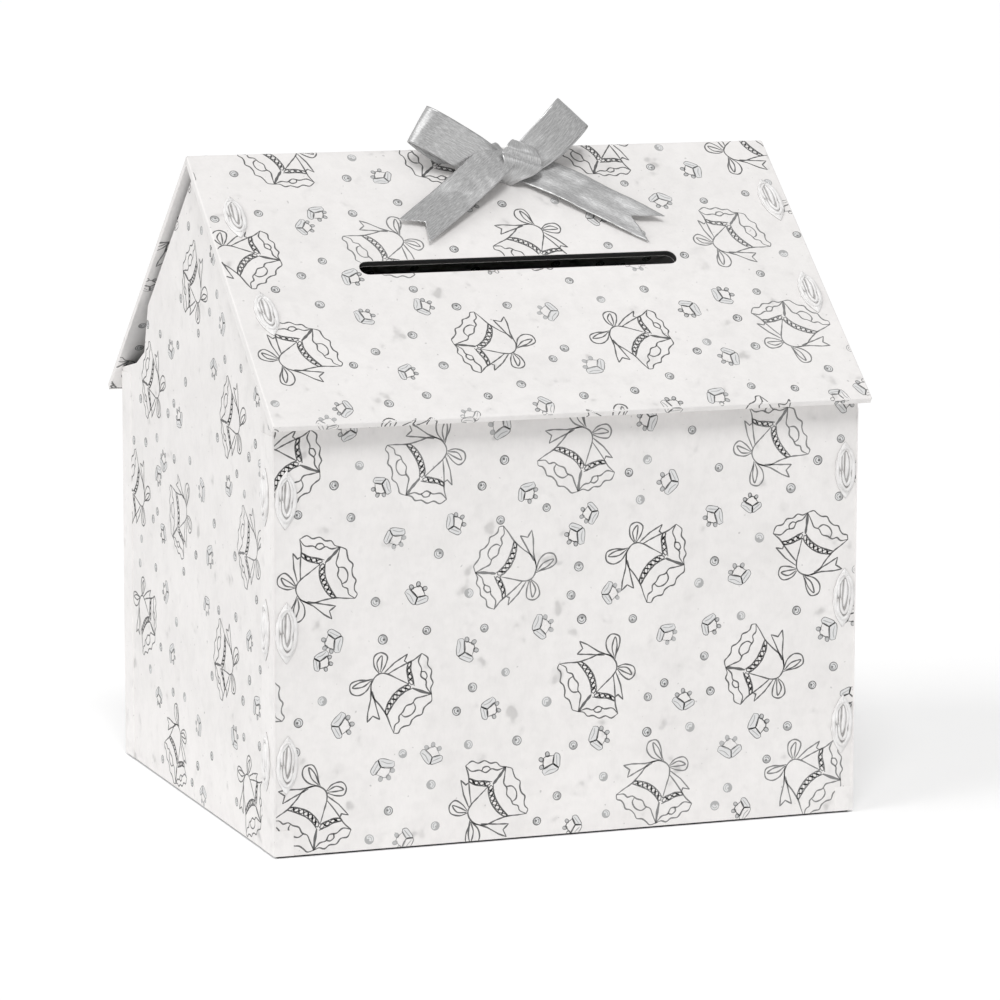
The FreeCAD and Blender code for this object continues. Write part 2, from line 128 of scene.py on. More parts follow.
def ramp(tree, source, stops):
    """Greys along a 0 to 1 signal; each stop is its position, its value and maybe its warmth."""
    node = tree.nodes.new("ShaderNodeValToRGB")
    elements = node.color_ramp.elements
    elements.remove(elements[1])
    for index, (position, *tone) in enumerate(stops):
        element = elements.new(position) if index else elements[0]
        element.position = position
        element.color = (*grey(*tone), 1)
    tree.links.new(source, node.inputs["Fac"])
    return node.outputs["Color"]


def multiply(tree, first, second):
    mix = tree.nodes.new("ShaderNodeMix")
    mix.data_type = "RGBA"
    mix.blend_type = "MULTIPLY"
    mix.inputs["Factor"].default_value = 1
    tree.links.new(first, mix.inputs["A"])
    tree.links.new(second, mix.inputs["B"])
    return mix.outputs["Result"]


def bump(tree, shader, height, strength, distance):
    """Fine relief; distance is in millimetres."""
    node = tree.nodes.new("ShaderNodeBump")
    node.inputs["Strength"].default_value = strength
    node.inputs["Distance"].default_value = distance * MM
    tree.links.new(height, node.inputs["Height"])
    tree.links.new(node.outputs["Normal"], shader.inputs["Normal"])


def paper_grain(tree, shader):
    bump(tree, shader, noise(tree, 1500, 3), 0.25, 0.04)


PAPER_WARMTH = 0.019
CLOUD_DEPTH = 0.035


def paper_material(name, tone, smudge):
    """Coated paper: faint clouds and mottling, soft grey smudges, a few specks and a fine grain."""
    material, tree, shader = new_material(name, 0.62)
    clouds = ((0.3, tone - CLOUD_DEPTH, PAPER_WARMTH), (0.62, tone, PAPER_WARMTH))
    colour = ramp(tree, noise(tree, 26, 4), clouds)
    # Each layer of marks: its noise's scale, detail and stretch, and its greys by position.
    marks = (
        (74, 3, None, ((0.36, 0.972), (0.56, 1.0))),
        (210, 3, None, ((0.36, 0.975), (0.55, 1.0))),
        (88, 2, None, ((0.25, smudge), (0.32, 0.95), (0.39, 1.0))),
        (430, 1, None, ((0.2, 0.72), (0.25, 1.0))),
        (900, 2, (1, 1, 0.4), ((0.3, 0.98), (0.6, 1.0))),
    )
    for scale, detail, stretch, stops in marks:
        colour = multiply(tree, colour, ramp(tree, noise(tree, scale, detail, stretch), stops))
    tree.links.new(colour, shader.inputs["Base Color"])
    paper_grain(tree, shader)
    shader.inputs["Specular IOR Level"].default_value = 0.35
    return material


def fibre_material(name, roughness, fibres, stops, grain, strength, depth):
    """Matt board or pulp; fibres and grain are noises, as scale, detail and maybe stretch."""
    material, tree, shader = new_material(name, roughness)
    tree.links.new(ramp(tree, noise(tree, *fibres), stops), shader.inputs["Base Color"])
    bump(tree, shader, noise(tree, *grain), strength, depth)
    return material


def rose_material(name, dark, light):
    """Moulded paper pulp with small pits."""
    stops = ((0.3, dark, 0.012), (0.65, light, 0.008))
    return fibre_material(name, 0.7, (260, 3), stops, (1400, 4), 0.45, 0.12)


def satin_material():
    """Silver satin: long bright and dark threads along the ribbon, and painted glints in its colour
    where they catch the light.
    """
    material, tree, shader = new_material("ribbon_satin", 0.36)
    weave = tree.nodes.new("ShaderNodeAttribute")
    weave.attribute_name = "weave"
    long_streaks = noise(tree, 1, 3, (300, 1900, 1), weave.outputs["Vector"])
    short_streaks = noise(tree, 1, 2, (1300, 2600, 1), weave.outputs["Vector"])
    threads = ramp(tree, long_streaks, ((0.3, 0.42), (0.5, 0.54), (0.7, 0.7)))
    # Painted glint: fine streaks that brighten the colour where the threads would catch the light.
    painted_glint = ramp(tree, short_streaks, ((0.3, 0.78), (0.5, 0.94), (0.68, 1.0)))
    tree.links.new(multiply(tree, threads, painted_glint), shader.inputs["Base Color"])
    shader.inputs["Metallic"].default_value = 0.55
    shader.inputs["Sheen Weight"].default_value = 0.25
    shader.inputs["Anisotropic"].default_value = 0.5
    bump(tree, shader, long_streaks, 0.55, 0.12)
    return material


PRINTED_PAPER = paper_material("printed_paper", 0.815, 0.74)
PLAIN_PAPER = paper_material("plain_paper", 0.84, 0.9)
# The printed paper made brighter as painted light, so that the roof panels' shaded undersides read
# lighter.
LINING_PAINTED_LIGHT = paper_material("lining_paper_painted_light", 0.92, 0.74)
BOARD_TONES = ((0.3, 0.022), (0.6, 0.038), (0.75, 0.06))
BOARD = fibre_material("black_board", 0.9, (700, 4, (1, 1, 4)), BOARD_TONES, (2200, 4), 0.4, 0.06)
# The foot card is coloured near black as painted shade. It deepens the thin shadow line under the
# walls, on top of the real shade of its recess.
FOOT_SHADE_TONES = ((0.3, 0.03), (0.7, 0.05))
FOOT_PAINTED_SHADE = fibre_material("foot_card", 0.8, (900, 3), FOOT_SHADE_TONES, (1800, 3), 0.3, 0.05)
ROSE = rose_material("rose_paper", 0.72, 0.83)
# A dark copy of the rose paper, as painted shade on the roses' sides and in the hollows between
# their folds.
ROSE_PAINTED_SHADE = rose_material("rose_paper_painted_shade", 0.3, 0.46)
SATIN = satin_material()


def ink_material(name, value):
    """Grey ink: flat in colour, with the paper's grain showing through its surface."""
    material, tree, shader = new_material(name, 0.6, grey(value))
    paper_grain(tree, shader)
    shader.inputs["Specular IOR Level"].default_value = 0.3
    return material


INKS = [
    ink_material("ink_dark", 0.13),
    ink_material("ink_soft", 0.22),
    ink_material("ink_faint", 0.42),
    ink_material("wash_pale", 0.7),
    ink_material("wash_mid", 0.5),
]
DARK, SOFT, FAINT, PALE_WASH, MID_WASH = range(5)


# ---- Making pieces ----


def make_piece(name, vertices, faces, materials, face_slots=None, smooth=False):
    """A mesh object from vertices in millimetres."""
    mesh = bpy.data.meshes.new(name)
    mesh.from_pydata([Vector(v) * MM for v in vertices], [], faces)
    for material in materials:
        mesh.materials.append(material)
    if face_slots:
        mesh.polygons.foreach_set("material_index", face_slots)
    mesh.polygons.foreach_set("use_smooth", [smooth] * len(mesh.polygons))
    mesh.update()
    piece = bpy.data.objects.new(name, mesh)
    bpy.context.scene.collection.objects.link(piece)
    return piece


def catmull_rom(points, count_between):
    """A smooth curve through points, with count_between(start, end) steps from each to the next."""
    points = [Vector(p) for p in points]
    chain = [points[0] * 2 - points[1], *points, points[-1] * 2 - points[-2]]
    result = []
    for a, b, c, d in zip(chain, chain[1:], chain[2:], chain[3:]):
        count = count_between(b, c)
        for index in range(count):
            x = index / count
            bend = (a * 2 - b * 5 + c * 4 - d) * x * x + (b * 3 - a - c * 3 + d) * x**3
            result.append((b * 2 + (c - a) * x + bend) / 2)
    return [*result, points[-1]]


def curve_through(points, step=LINE_STEP):
    """A smooth curve in nearly even steps."""
    return catmull_rom(points, lambda start, end: max(1, round((end - start).length / step)))


def sample(line, share):
    """The point at a share, 0 to 1, of a line's steps."""
    place = max(0, min(1, share)) * (len(line) - 1)
    index = min(int(place), len(line) - 2)
    return line[index].lerp(line[index + 1], place - index)


def line_length(line):
    return sum((end - start).length for start, end in zip(line, line[1:]))


# ---- The roof's outer surface, unrolled ----


def slope_point(x, run, depth, side):
    """A point at a depth below the roof's outer face; run is how far down the slope it is."""
    sine, cosine = math.sin(PITCH[side]), math.cos(PITCH[side])
    return Vector((x, side * (run * cosine - depth * sine), RIDGE_Z - run * sine - depth * cosine))


def slope_direction(along, out, side):
    """A direction in the frame: along runs down the slope and out leaves its outer face."""
    sine, cosine = math.sin(PITCH[side]), math.cos(PITCH[side])
    return Vector((0, side * (along * cosine + out * sine), out * cosine - along * sine))


# The ridge is an arc between the slopes, about a line below it.
FRONT_OUT = slope_direction(0, 1, FRONT)
REAR_OUT = slope_direction(0, 1, REAR)
RIDGE_TURN = PITCH[FRONT] + PITCH[REAR]
RIDGE_RUN = RIDGE_ROUND * math.tan(RIDGE_TURN / 2)
RIDGE_DROP = RIDGE_ROUND / (1 + FRONT_OUT.dot(REAR_OUT))
RIDGE_CENTRE = Vector((0, 0, RIDGE_Z)) - (FRONT_OUT + REAR_OUT) * RIDGE_DROP
EAVE_ARC = EDGE_ROUND * math.pi / 2
EAVE_WRAP = EAVE_ARC + ROOF_THICKNESS - PAPER - EDGE_ROUND


def side_of(v):
    return FRONT if v < 0 else REAR


def roof_surface(x, v, height):
    """The outer face: v is 0 on the ridge, below 0 down the front and above 0 down the rear."""
    side = side_of(v)
    run = abs(v)
    flat_end = SLOPE[side] - EDGE_ROUND
    if run < RIDGE_RUN:
        pitch = (v / RIDGE_RUN + 1) / 2 * RIDGE_TURN - PITCH[FRONT]
        out = Vector((0, math.sin(pitch), math.cos(pitch)))
        return Vector((x, 0, 0)) + RIDGE_CENTRE + out * (RIDGE_ROUND + height)
    if run <= flat_end:
        return slope_point(x, run, -height, side)
    turn = min((run - flat_end) / EDGE_ROUND, math.pi / 2)
    reach = EDGE_ROUND + height
    depth = EDGE_ROUND - reach * math.cos(turn) + max(0, run - flat_end - EAVE_ARC)
    return slope_point(x, flat_end + reach * math.sin(turn), depth, side)


SLOT_STRAIGHT = (SLOT_LENGTH - SLOT_WIDTH) / 2
SLOT_MARGIN = 0.2


def in_slot(x, v, margin=0.0):
    along = max(0, abs(x - SLOT_SHIFT) - SLOT_STRAIGHT)
    return math.hypot(along, v + SLOT_BELOW_RIDGE) < SLOT_WIDTH / 2 + margin


def on_roof(x, v):
    if abs(x) >= ROOF_HALF_WIDTH - EDGE_ROUND:
        return False
    return abs(v) < SLOPE[side_of(v)] - EDGE_ROUND + EAVE_WRAP and not in_slot(x, v, SLOT_MARGIN)


# ---- Printed line art: strips of ink with real edges ----

# A cut end is found to within this many halvings of a step; shorter scraps are dropped.
CUT_HALVINGS = 7
SHORTEST_SCRAP = 2.3


class Sheet:
    """A printed face: where a point of it lies, whether it has paper, and the ink laid on it."""

    def __init__(self, place, has_paper):
        self.place = place
        self.has_paper = has_paper
        self.vertices = []
        self.faces = []
        self.inks = []

    def close(self, ring_count, first, ink):
        """Joins rings of four vertices into one closed strip."""
        for ring in range(ring_count - 1):
            base = first + ring * 4
            for side in range(4):
                here, following = base + side, base + (side + 1) % 4
                self.faces.append((here, here + 4, following + 4, following))
        last = first + (ring_count - 1) * 4
        self.faces.append((first, first + 1, first + 2, first + 3))
        self.faces.append((last + 3, last + 2, last + 1, last))
        self.inks.extend([ink] * ((ring_count - 1) * 4 + 2))

    def runs(self, line):
        """The stretches of a line that lie on paper, cut where the paper ends."""
        runs, current = [], []
        for before, point in zip([None, *line], line):
            inside = self.has_paper(*point)
            if before is not None and inside != bool(current):
                near, far = (before, point) if current else (point, before)
                for _ in range(CUT_HALVINGS):
                    middle = (near + far) / 2
                    if self.has_paper(*middle):
                        near = middle
                    else:
                        far = middle
                current.append(near)
            if inside:
                current.append(point)
            elif current:
                runs.append(current)
                current = []
        if current:
            runs.append(current)
        return [r for r in runs if len(r) > 1 and (r[0] - r[-1]).length + len(r) > SHORTEST_SCRAP]

    def line(self, points, width, ink, taper=True):
        """A pen line: its width swells a little along it and thins to both ends."""
        for run in self.runs(points):
            first = len(self.vertices)
            count = len(run)
            for index, point in enumerate(run):
                ahead = run[min(index + 1, count - 1)] - run[max(index - 1, 0)]
                if ahead.length < 1e-6:
                    ahead = Vector((1, 0))
                share = index / (count - 1)
                swell = 0.9 + 0.18 * math.sin(point.x * 1.3 + point.y * 0.9)
                thin = min(1, 0.55 + 3 * min(share, 1 - share)) if taper else 1
                aside = Vector((-ahead.y, ahead.x)).normalized() * (width / 2 * swell * thin)
                left, right = point + aside, point - aside
                self.vertices += [self.place(*left, INK_PROUD), self.place(*right, INK_PROUD)]
                self.vertices += [self.place(*right, -INK_SUNK), self.place(*left, -INK_SUNK)]
            self.close(count, first, ink)

    def wash(self, points, ink, proud=WASH_PROUD):
        """A filled shape, left out if it runs off the paper."""
        if not all(self.has_paper(*point) for point in points):
            return
        first, count = len(self.vertices), len(points)
        for height in (proud, -INK_SUNK):
            self.vertices.extend(self.place(*point, height) for point in points)
        top = tuple(range(first, first + count))
        self.faces.append(top)
        self.faces.append(tuple(index + count for index in reversed(top)))
        for index in range(count):
            following = first + (index + 1) % count
            here = first + index
            self.faces.append((here, here + count, following + count, following))
        self.inks.extend([ink] * (count + 2))

    def piece(self, name, body):
        """The ink as a piece that rides on a body, if one is named."""
        print_piece = make_piece(name, self.vertices, self.faces, INKS, self.inks)
        if body:
            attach(print_piece, body)
        return print_piece


def transform(points, centre, turn, size=1.0):
    """Points in a plane scaled and turned about the origin, then moved to a centre."""
    cosine, sine = math.cos(turn) * size, math.sin(turn) * size
    return [
        Vector((centre[0] + p[0] * cosine - p[1] * sine, centre[1] + p[0] * sine + p[1] * cosine))
        for p in points
    ]


LINE = 0.72
BELL_SIZE = 0.97
BELL_MIDDLE = Vector((2.5, 15.2))

# One bell pair, upright, in millimetres: the big bell's mouth is centred on the origin.
BIG_BAND = (
    ((-9.1, 10.8), (-5, 12.8), (0.2, 13.8), (5, 13.2), (8.4, 11.8)),
    ((-9.8, 8.6), (-5, 10.1), (0.2, 10.9), (4.6, 10.5), (8.1, 9.1)),
)
SMALL_BAND = (
    ((8.4, 11.8), (10.2, 14.6), (12.4, 17.6), (15.2, 19.8)),
    ((9.6, 9.2), (12, 13), (14, 16.4), (16.9, 19)),
)
BELL_LINES = (
    # The big bell: its sides, the two scalloped edges of its mouth and the clapper.
    (
        (-13, 0), (-11.6, 4), (-9.6, 9), (-8.6, 15), (-8.2, 20.5), (-5.6, 24.8), (-1.6, 26.6),
        (2, 26), (4.4, 23), (6.2, 18), (8.4, 11.8),
    ),
    (
        (-13, 0), (-11.4, -1.6), (-9.2, -0.9), (-7, -1.5), (-4.8, -2.9), (-2.4, -2), (0.6, -2.4),
        (3, -3.6), (5.6, -2.2), (8.4, -2.2), (10.8, -2.4), (13, 0),
    ),
    (
        (-13, 0), (-10, 2.4), (-7.4, 2.2), (-5.6, 4.1), (-2.8, 4.2), (0.2, 5.1), (3.2, 3.7),
        (6, 4.2), (9, 2.4), (13, 0),
    ),
    ((-4.2, 4.1), (-3.7, 1.6), (-0.6, 0.1), (2.7, 0.9), (4, 3.8)),
    *BIG_BAND,
    # The small bell behind it, the same way.
    ((4.6, 23), (9.6, 21.6), (14.6, 19.9), (18.4, 18.5), (23, 18)),
    (
        (13, 0), (14.6, 2.4), (17.2, 3.4), (18.2, 6.2), (20.8, 8.4), (21.2, 11.8), (23.6, 14.2),
        (23, 18),
    ),
    ((13, 0), (13.5, 4.4), (15.5, 6.8), (15.2, 10.2), (17.8, 12.6), (19.2, 16.4), (23, 18)),
    ((15.2, 7.3), (17.3, 7.9), (18, 10.4), (16.4, 11.9)),
    *SMALL_BAND,
    # The bow's two loops, each with its inner edge.
    (
        (-3.4, 26.4), (-8.4, 24.9), (-12.8, 26.2), (-14.5, 29.9), (-11.8, 33), (-8, 31.6),
        (-4.8, 28.6), (-2.4, 26.8),
    ),
    ((-3.2, 26.8), (-8.4, 27.6), (-12.4, 31), (-8.2, 30.3), (-3.8, 27.4)),
    ((1.6, 26.6), (2.2, 30.6), (5.4, 34.1), (9, 33.2), (10.1, 29.6), (6.8, 27.2), (2.6, 26)),
    ((2, 26.8), (4.4, 31), (8.4, 31.7), (5.6, 28.8), (2.4, 26.4)),
)
# The bow's tails, drawn with sharp corners.
BELL_CORNERED = (
    ((-4.4, 25.8), (-9.8, 20.4), (-15.4, 16.6), (-18.6, 13.6)),
    ((-18.6, 13.6), (-14.6, 13.7), (-13.3, 10)),
    ((-13.3, 10), (-10.6, 15.4), (-6.6, 22.6)),
    ((3.8, 24.8), (10.6, 24.6), (17.8, 23)),
    ((17.8, 23), (14.4, 21.6), (14.8, 20.2)),
)
SHARED_EDGE = ((13, 0), (10.6, 4.2), (8.2, 9.2))
SHARED_EDGE_LINE = LINE * 1.9

BAND_TWIST = 2.5
BAND_STEP = 0.5
STRAND_LINE = 0.54
CROSSING_LINE = 1.05
STEPS_PER_TWIST = 6


def draw_band(sheet, band, centre, turn, ink):
    """A twisted cord between two lines: strands that cross, with light ovals between."""
    top, bottom = [curve_through(edge, BAND_STEP) for edge in band]
    twists = max(3, round(line_length(top) / BAND_TWIST))

    def across(share, depth):
        return sample(top, share).lerp(sample(bottom, share), depth)

    for sign in (1, -1):
        strand = []
        for step in range(twists * STEPS_PER_TWIST + 1):
            share = step / (twists * STEPS_PER_TWIST)
            strand.append(across(share, 0.5 + 0.4 * sign * math.sin(math.pi * twists * share)))
        sheet.line(transform(strand, centre, turn, BELL_SIZE), STRAND_LINE, ink, taper=False)
    for crossing in range(1, twists):
        share = crossing / twists
        lean = 0.3 / twists
        knot = [across(share - lean, 0.12), across(share, 0.5), across(share + lean, 0.88)]
        sheet.line(transform(knot, centre, turn, BELL_SIZE), CROSSING_LINE, ink)


def cornered(points, steps):
    """Straight lines between points, in steps."""
    line = [Vector(p) for p in points]
    between = [a.lerp(b, i / steps) for a, b in zip(line, line[1:]) for i in range(steps)]
    return [*between, line[-1]]


def draw_bells(sheet, middle, turn, ink):
    centre = middle - transform([BELL_MIDDLE], (0, 0), turn, BELL_SIZE)[0]
    lines = [(curve_through(points), LINE) for points in BELL_LINES]
    lines += [(cornered(points, 6), LINE) for points in BELL_CORNERED]
    lines.append((curve_through(SHARED_EDGE), SHARED_EDGE_LINE))
    for points, width in lines:
        sheet.line(transform(points, centre, turn, BELL_SIZE), width, ink)
    draw_band(sheet, BIG_BAND, centre, turn, ink)
    draw_band(sheet, SMALL_BAND, centre, turn, ink)


def circle(centre, radius, count):
    x, y = centre
    turns = [math.tau * index / count for index in range(count)]
    return [Vector((x + radius * math.cos(turn), y + radius * math.sin(turn))) for turn in turns]


def arc(radius, start, sweep, count):
    """Points round the origin, from start through sweep, both in half turns."""
    turns = [math.pi * (start + sweep * index / (count - 1)) for index in range(count)]
    return [transform([(radius, 0)], (0, 0), turn)[0] for turn in turns]


SPRIG_LEAVES = (
    ((-6.2, 2.4), (-4.9, 4), (-3.1, 3.5), (-0.4, 0.3), (-1.4, -3.2), (-3.6, -1.9)),
    ((0.3, 0.1), (3.9, 0.7), (5, 0.1), (4.7, -1.9), (2.2, -2.9), (-0.9, -3.3)),
)
SPRIG_VEINS = (((-5.4, 2.5), (-3.4, 0.9), (-2, -2)), ((4.3, -0.5), (2.2, -1.2), (-0.3, -2.1)))
SPRIG_BUD = ((-3.2, 3.3), (-2.3, 4.3), (-0.6, 4.8), (0.8, 5.3), (2.4, 4.2), (2.9, 2.8), (3.6, 0.8))
SPRIG_STEMS = (((-3.5, 3.6), (0, 0)), ((3.9, 0.6), (0, 0)), ((0, 0), (-1.3, -3.3)))
# Each berry: its middle, its half length and the way it points, in degrees.
SPRIG_BERRIES = (((0.4, 6), 1.3, 80), ((-2.9, 4.9), 1.2, 140), ((3.5, 3.9), 1.25, 25))
BERRY_HALF_WIDTH = 0.95
LEAF_LINE, VEIN_LINE, BERRY_LINE, BUD_LINE, STEM_LINE = 0.4, 0.45, 0.46, 0.5, 0.85


def draw_sprig(sheet, centre, turn, ink, size):
    """A bud between two broad leaves, with three berries set against it."""

    def place(points):
        return transform(points, centre, turn, size)

    for leaf, vein in zip(SPRIG_LEAVES, SPRIG_VEINS):
        sheet.wash(place(leaf), PALE_WASH)
        sheet.line(place(curve_through([*leaf, leaf[0]], 1.0)), LEAF_LINE, SOFT)
        sheet.line(place(curve_through(vein, 1.0)), VEIN_LINE, FAINT)
    for middle, half_length, degrees in SPRIG_BERRIES:
        oval = [(p.x * half_length, p.y * BERRY_HALF_WIDTH) for p in circle((0, 0), 1, 10)]
        outline = transform(oval, middle, math.radians(degrees))
        sheet.wash(place(outline), MID_WASH)
        sheet.line(place([*outline, outline[0]]), BERRY_LINE, ink)
    sheet.line(place(curve_through(SPRIG_BUD, 0.9)), BUD_LINE, ink)
    for stem in SPRIG_STEMS:
        sheet.line(place(cornered(stem, 4)), STEM_LINE, ink)


DOT_RADIUS = 2.1
DOT_LINE, CURL_LINE = 0.48, 0.34


def draw_dot(sheet, centre, turn, ink, size):
    """A shaded bead: pale inside, darker to one side, ringed, with a small dark eye."""

    def place(points):
        return transform(points, centre, turn, size)

    ring = circle((0, 0), DOT_RADIUS, 16)
    sheet.wash(place(ring), PALE_WASH)
    outer = arc(DOT_RADIUS - 0.05, 0.45, 1.1, 9)
    inner = [Vector((0.35 * p.x + 0.1, p.y * 0.75)) for p in reversed(outer)]
    sheet.wash(place(outer + inner), FAINT, WASH_PROUD * 1.6)
    sheet.line(place([*ring, ring[0]]), DOT_LINE, ink, taper=False)
    sheet.line(place(arc(1.15, 0.4, -0.9, 7)), CURL_LINE, ink)
    sheet.wash(place(circle((-0.45, 0.3), 0.58, 8)), ink, INK_PROUD)


# The paper's repeat: four rows of four bell pairs, each (how far along, its turn in degrees).
REPEAT_LENGTH = 332
ROW_STEP = 53.5
BELL_ROWS = (
    ((-125, -39), (-42, 110), (45, -39), (122, 45)),
    ((-85, 45), (13, -70), (96, -125), (172, 110)),
    ((-125, 110), (-30, -125), (40, 45), (120, 143)),
    ((-140, 45), (-72, -70), (4, -39), (100, 112)),
)
# What lies round each bell pair, from its middle.
SMALL_MOTIFS = (
    ((35, 17), "sprig"), ((46, -14), "sprig"), ((-28, 24), "sprig"),
    ((27, -12), "dot"), ((35, -3), "dot"), ((56, 6), "dot"), ((44, 25), "dot"),
    ((16, 27), "dot"), ((-24, -10), "dot"), ((8, -25), "dot"), ((-8, 26), "dot"),
)
BELL_CLEARANCE = 22.5
SMALL_CLEARANCE = {"sprig": 11.5, "dot": 8.5}
# How far outside the paper's edge a motif's middle may lie.
BELL_REACH = 24
SMALL_REACH = 8

# The roof's rows, from the front eave: one lies along the slot and one across the ridge.
LOWEST_ROOF_ROW = -128
ROOF_ROW_STEP = 62
SLOT_ROW = ((-136, 45), (-64, -70), (9, -39), (109, 112))
RIDGE_ROW = ((-101, -60), (-24, -75), (58, -60), (136, 110))
ROOF_ROWS = (BELL_ROWS[2], SLOT_ROW, RIDGE_ROW, BELL_ROWS[1])
# The left gable's rows are wider apart.
GABLE_ROW_STEP = 58
GABLE_ROWS = (
    ((-33, -39), (86, 20)),
    ((-85, 30), (49, -110)),
    ((-99, -125), (-25, -85), (88, -110)),
    ((-70, -120), (61, -115)),
    ((0, -140),),
)
# The height of the walls' lowest row, and of the linings' above their eaves.
WALL_START = 21
LINING_START = 12
# How far off its place in the repeat a bell pair or a small motif may lie or turn.
BELL_DRIFT = 1.5
BELL_TURN_DRIFT = 4
SMALL_DRIFT = 3


def lay_print(sheet, area, start, first_row, shift, seed, row_step=ROW_STEP, rows=BELL_ROWS):
    """Fills an area, (left, right, low, high), with rows; row first_row lies at height start."""
    left, right, low, high = area
    rng = random.Random(seed)
    bells = []

    def near(point, edge):
        return left - edge < point.x < right + edge and low - edge < point.y < high + edge

    def drift(most):
        return rng.uniform(-most, most)

    for row in range(-2, math.ceil((high - start) / row_step) + 2):
        for block in range(-1, 2):
            for along, turn in rows[(row + first_row) % len(rows)]:
                u = along + shift + block * REPEAT_LENGTH + drift(BELL_DRIFT)
                v = start + row * row_step + drift(BELL_DRIFT)
                bells.append((Vector((u, v)), math.radians(turn + drift(BELL_TURN_DRIFT))))
    for middle, turn in bells:
        if near(middle, BELL_REACH):
            draw_bells(sheet, middle, turn, DARK if rng.random() < 0.75 else SOFT)
    placed = []
    for offset, kind in SMALL_MOTIFS:
        clear = SMALL_CLEARANCE[kind]
        for middle, _ in bells:
            point = middle + Vector(offset) + Vector((drift(SMALL_DRIFT), drift(SMALL_DRIFT)))
            angle, size = rng.uniform(0, math.tau), rng.uniform(0.88, 1.06)
            tone = rng.choice((SOFT, SOFT, DARK, FAINT))
            free = all((point - bell).length > BELL_CLEARANCE for bell, _ in bells)
            free = free and all((point - other).length > max(clear, gap) for other, gap in placed)
            if free and near(point, SMALL_REACH):
                placed.append((point, clear))
                draw = draw_dot if kind == "dot" else draw_sprig
                draw(sheet, point, angle, tone, size)


# How far off its face a ray starts that looks for paper, in millimetres.
RAY_START = 0.1


def flat_sheet(node, origin, u_axis, v_axis):
    """A sheet on the outer face of a flat CAD paper; paper is where a ray meets that node."""
    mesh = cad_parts[node].data
    faces = [tuple(face.vertices) for face in mesh.polygons]
    tree = BVHTree.FromPolygons([vertex.co for vertex in mesh.vertices], faces)
    normal = u_axis.cross(v_axis)

    def place(u, v, height):
        return origin + u_axis * u + v_axis * v + normal * height

    def has_paper(u, v):
        hit = tree.ray_cast(place(u, v, RAY_START) * MM, -normal, 2 * RAY_START * MM)
        return hit[0] is not None

    return Sheet(place, has_paper)


def node_limits(node):
    low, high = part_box(node)
    return [value / MM for value in low], [value / MM for value in high]


def print_walls():
    # Each wall: its name, the way its print runs, which side of which axis it faces, its first
    # row, the print's shift, its seed, and its rows.
    walls = (
        ("front_wall", X, -1, 1, 0, 0, 11, ROW_STEP, BELL_ROWS),
        ("rear_wall", -X, 1, 1, 2, 20, 12, ROW_STEP, BELL_ROWS),
        ("left_gable", -Y, -1, 0, 0, 0, 13, GABLE_ROW_STEP, GABLE_ROWS),
        ("right_gable", Y, 1, 0, 3, -8, 14, ROW_STEP, BELL_ROWS),
    )
    for name, u_axis, side, axis, first_row, shift, seed, row_step, rows in walls:
        low, high = node_limits(f"{name}_paper")
        origin = Vector((0, 0, 0))
        origin[axis] = low[axis] if side < 0 else high[axis]
        sheet = flat_sheet(f"{name}_paper", origin, u_axis, Z)
        reach = max(abs(low[1 - axis]), abs(high[1 - axis]))
        area = (-reach, reach, low[2], high[2])
        lay_print(sheet, area, WALL_START, first_row, shift, seed, row_step, rows)
        sheet.piece(f"{name}_print", "box")


def print_linings():
    """The same paper lines both roof panels."""
    panels = (("front_roof", FRONT, "box", 15), ("rear_roof", REAR, "rear_flap", 16))
    for name, side, body, seed in panels:
        origin = slope_point(0, 0, ROOF_THICKNESS, side)
        up_slope = -slope_direction(1, 0, side)
        sheet = flat_sheet(f"{name}_lining", origin, X * side, up_slope)
        area = (-ROOF_HALF_WIDTH, ROOF_HALF_WIDTH, -SLOPE[side], 0)
        lay_print(sheet, area, LINING_START - SLOPE[side], 1, 7, seed)
        sheet.piece(f"{name}_lining_print", body)


# ---- The cover paper of the roof ----

SLOT_END_STEPS = 12
# The ridge arc's ends are kept on the arc's side of the limit by this share.
JUST_INSIDE = 0.99999
WELD = 0.02


def roof_rings():
    """Steps of the paper round a board's edge, as (how far in from the edge, how deep)."""
    rings = []
    for step in range(ARC_STEPS + 1):
        turn = math.pi / 2 * step / ARC_STEPS
        rings.append((EDGE_ROUND * (1 - math.sin(turn)), EDGE_ROUND * (1 - math.cos(turn))))
    rings.append((0, ROOF_THICKNESS - PAPER))
    return rings


def ring_chain(inset, depth, side):
    """A ring from the ridge's left end, round the eave, to the ridge's right end."""
    start = max(RIDGE_RUN, depth * math.tan(PITCH[side]) + MITRE_GAP)
    half = ROOF_HALF_WIDTH
    chain = [slope_point(inset - half, start, depth, side)]
    radius = EDGE_ROUND - inset
    for corner_x in (EDGE_ROUND - half, half - EDGE_ROUND):
        for step in range(ARC_STEPS + 1):
            turn = math.pi / 2 * step / ARC_STEPS
            if corner_x > 0:
                turn = math.pi / 2 - turn
            reach = -math.cos(turn) if corner_x < 0 else math.cos(turn)
            run = SLOPE[side] - EDGE_ROUND + radius * math.sin(turn)
            chain.append(slope_point(corner_x + radius * reach, run, depth, side))
    chain.append(slope_point(half - inset, start, depth, side))
    return chain


def slot_outline():
    """The slot's edge as (x, how far below the ridge)."""
    outline = []
    for sign in (1, -1):
        for step in range(SLOT_END_STEPS + 1):
            turn = math.pi * step / SLOT_END_STEPS - math.pi / 2
            x = SLOT_SHIFT + sign * (SLOT_STRAIGHT + SLOT_WIDTH / 2 * math.cos(turn))
            outline.append((x, SLOT_BELOW_RIDGE + sign * SLOT_WIDTH / 2 * math.sin(turn)))
    return outline


def new_corner(shell, point):
    return shell.verts.new(point * MM)


